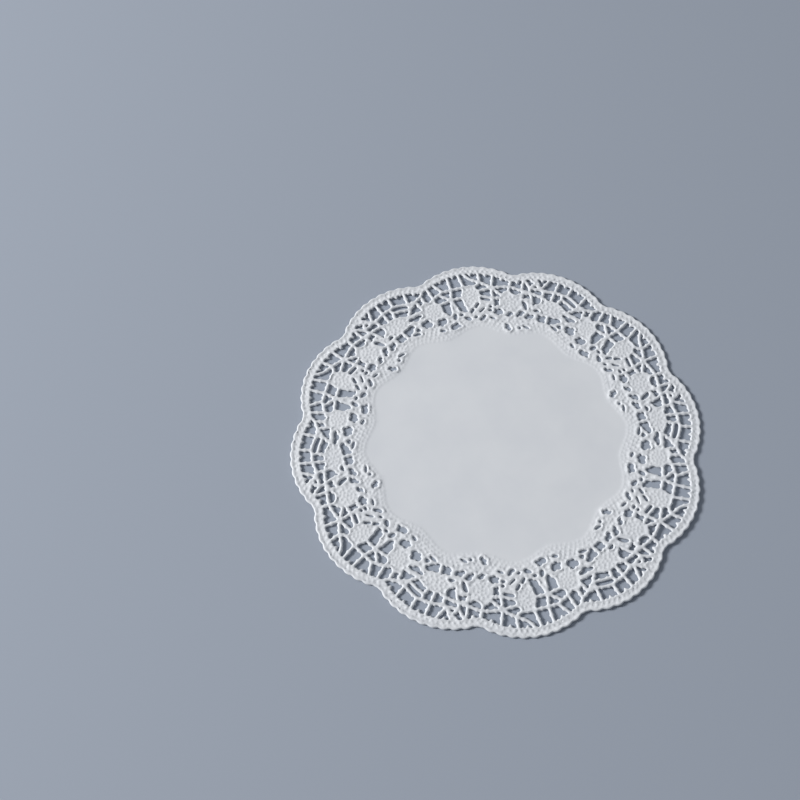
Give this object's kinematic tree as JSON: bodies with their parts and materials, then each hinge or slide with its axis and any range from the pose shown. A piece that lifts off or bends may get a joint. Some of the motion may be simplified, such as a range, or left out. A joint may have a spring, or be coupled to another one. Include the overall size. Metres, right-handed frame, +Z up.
{
  "type": "paper lace doily",
  "caption": "Flat round paper lace doily: plain centre, die-cut net border with solid medallions, scalloped hem with a bumpy edge.",
  "frame": {"origin": "middle of the underside, on the surface that the doily lies on", "axes": "+Z up through the sheet; a scallop's tip on each of +X, +Y, -X and -Y"},
  "size_m": [0.2032, 0.2032, 0.001],
  "materials": {
    "paper": "matt white embossed paper with a smooth centre"
  },
  "bodies": {
    "root": {"doily": "paper"}
  },
  "joints": []
}
